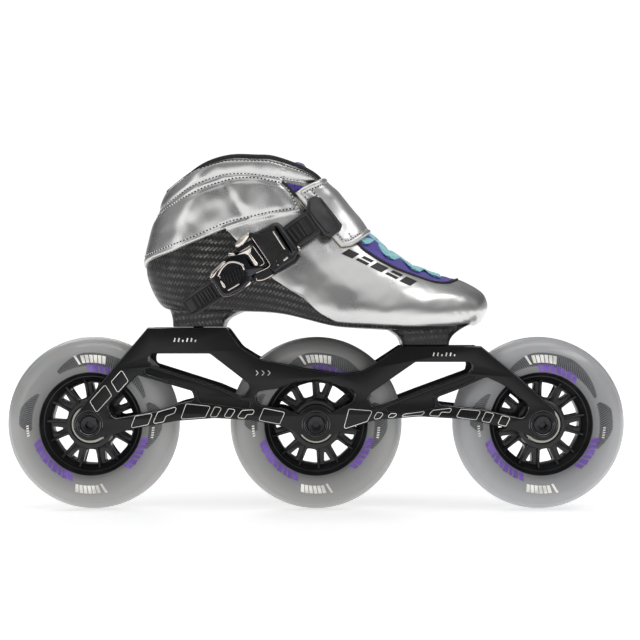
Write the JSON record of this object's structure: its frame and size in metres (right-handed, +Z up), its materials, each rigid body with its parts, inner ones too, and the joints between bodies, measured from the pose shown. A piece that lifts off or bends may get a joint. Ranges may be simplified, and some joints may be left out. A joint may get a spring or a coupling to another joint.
{
  "type": "inline speed skate",
  "caption": "Low-cut inline speed skate for the right foot: hollow leather boot in a carbon cup, ratchet strap, and a two-rail frame with large wheels in one line.",
  "frame": {"origin": "heel seat on top of the insole, inside the boot", "axes": "+X to the toe, +Z up, -Y to the outer side of the right foot"},
  "size_m": [0.359, 0.0797, 0.2026],
  "materials": {
    "silver_leather": "metallic silver coated leather, soft gloss",
    "carbon": "carbon twill under clear gloss",
    "insole_cloth": "black lining cloth",
    "tongue_cloth": "purple mesh cloth over foam",
    "lace": "flat woven lace, turquoise",
    "black_plastic": "moulded black plastic, satin",
    "buckle_metal": "dark polished metal with bright edges",
    "anodised_black": "satin black anodised aluminium",
    "steel": "black oxide steel",
    "urethane": "translucent grey-white urethane",
    "hub_plastic": "black glass-filled plastic",
    "bearing_steel": "bearing steel with a dark shield"
  },
  "bodies": {
    "boot": {"upper": "silver_leather", "carbon_shell": "carbon", "insole": "insole_cloth", "tongue": "tongue_cloth", "lace_bar_1": "lace", "lace_bar_2": "lace", "lace_bar_3": "lace", "lace_bar_4": "lace", "instep_strap": "silver_leather", "strap_cap": "black_plastic", "ladder_strap": "black_plastic", "buckle_base": "black_plastic", "buckle_lever": "buckle_metal", "skate_frame": "anodised_black", "frame_bolt_rear": "steel", "frame_bolt_front": "steel", "axle_rear": "steel", "axle_mid": "steel", "axle_front": "steel"},
    "wheel_rear": {"tyre_rear": "urethane", "hub_rear": "hub_plastic", "bearing_rear_lat": "bearing_steel", "bearing_rear_med": "bearing_steel"},
    "wheel_mid": {"tyre_mid": "urethane", "hub_mid": "hub_plastic", "bearing_mid_lat": "bearing_steel", "bearing_mid_med": "bearing_steel"},
    "wheel_front": {"tyre_front": "urethane", "hub_front": "hub_plastic", "bearing_front_lat": "bearing_steel", "bearing_front_med": "bearing_steel"}
  },
  "joints": [
    {"name": "wheel_rear_spin", "type": "hinge", "parent": "boot", "child": "wheel_rear", "pos_m": [-0.0638, 0, -0.07], "axis": [0, 1, 0], "continuous": true},
    {"name": "wheel_mid_spin", "type": "hinge", "parent": "boot", "child": "wheel_mid", "pos_m": [0.0657, 0, -0.07], "axis": [0, 1, 0], "continuous": true},
    {"name": "wheel_front_spin", "type": "hinge", "parent": "boot", "child": "wheel_front", "pos_m": [0.1952, 0, -0.07], "axis": [0, 1, 0], "continuous": true}
  ]
}
